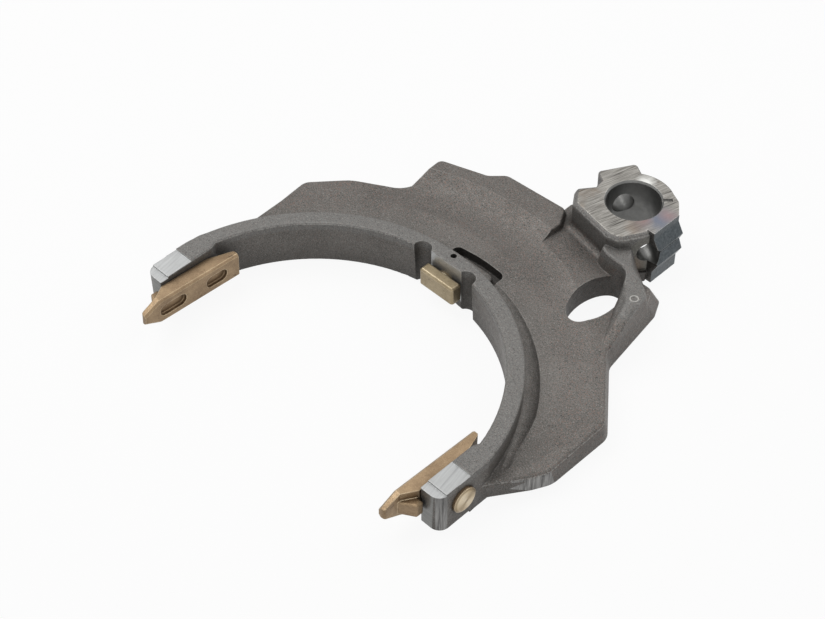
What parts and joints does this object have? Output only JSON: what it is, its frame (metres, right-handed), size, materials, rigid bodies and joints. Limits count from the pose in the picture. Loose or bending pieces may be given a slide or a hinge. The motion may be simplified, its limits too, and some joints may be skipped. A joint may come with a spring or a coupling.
{
  "type": "shift fork",
  "caption": "Gearbox shift fork: curved cast iron web and groove band with two arms, bored rail hub with notched detent pad, swivelling bronze shoes and a bronze middle pad.",
  "frame": {"origin": "axis of the rail bore at the hub's underside", "axes": "+Z along the rail bore, up in the picture; +Y from the sleeve towards the hub; +X towards the right arm"},
  "size_m": [0.1897, 0.2032, 0.0285],
  "materials": {
    "cast_iron": "as cast, with machined tips, hub and seat",
    "shoe_bronze": "pressed bronze, matt",
    "pad_bronze": "machined bronze",
    "pin_steel": "ground"
  },
  "bodies": {
    "fork": {"fork_casting": "cast_iron", "middle_pad": "pad_bronze", "lock_pin": "pin_steel"},
    "left_swivel": {"left_shoe": "shoe_bronze"},
    "right_swivel": {"right_shoe": "shoe_bronze"}
  },
  "joints": [
    {"name": "left_shoe_swivel", "type": "hinge", "parent": "fork", "child": "left_swivel", "pos_m": [-0.1166, -0.1576, 0.0128], "axis": [1, 0, 0], "range_deg": [-4.7, 11.3]},
    {"name": "right_shoe_swivel", "type": "hinge", "parent": "fork", "child": "right_swivel", "pos_m": [0.046, -0.1576, 0.0128], "axis": [1, 0, 0], "range_deg": [-6, 10]}
  ]
}
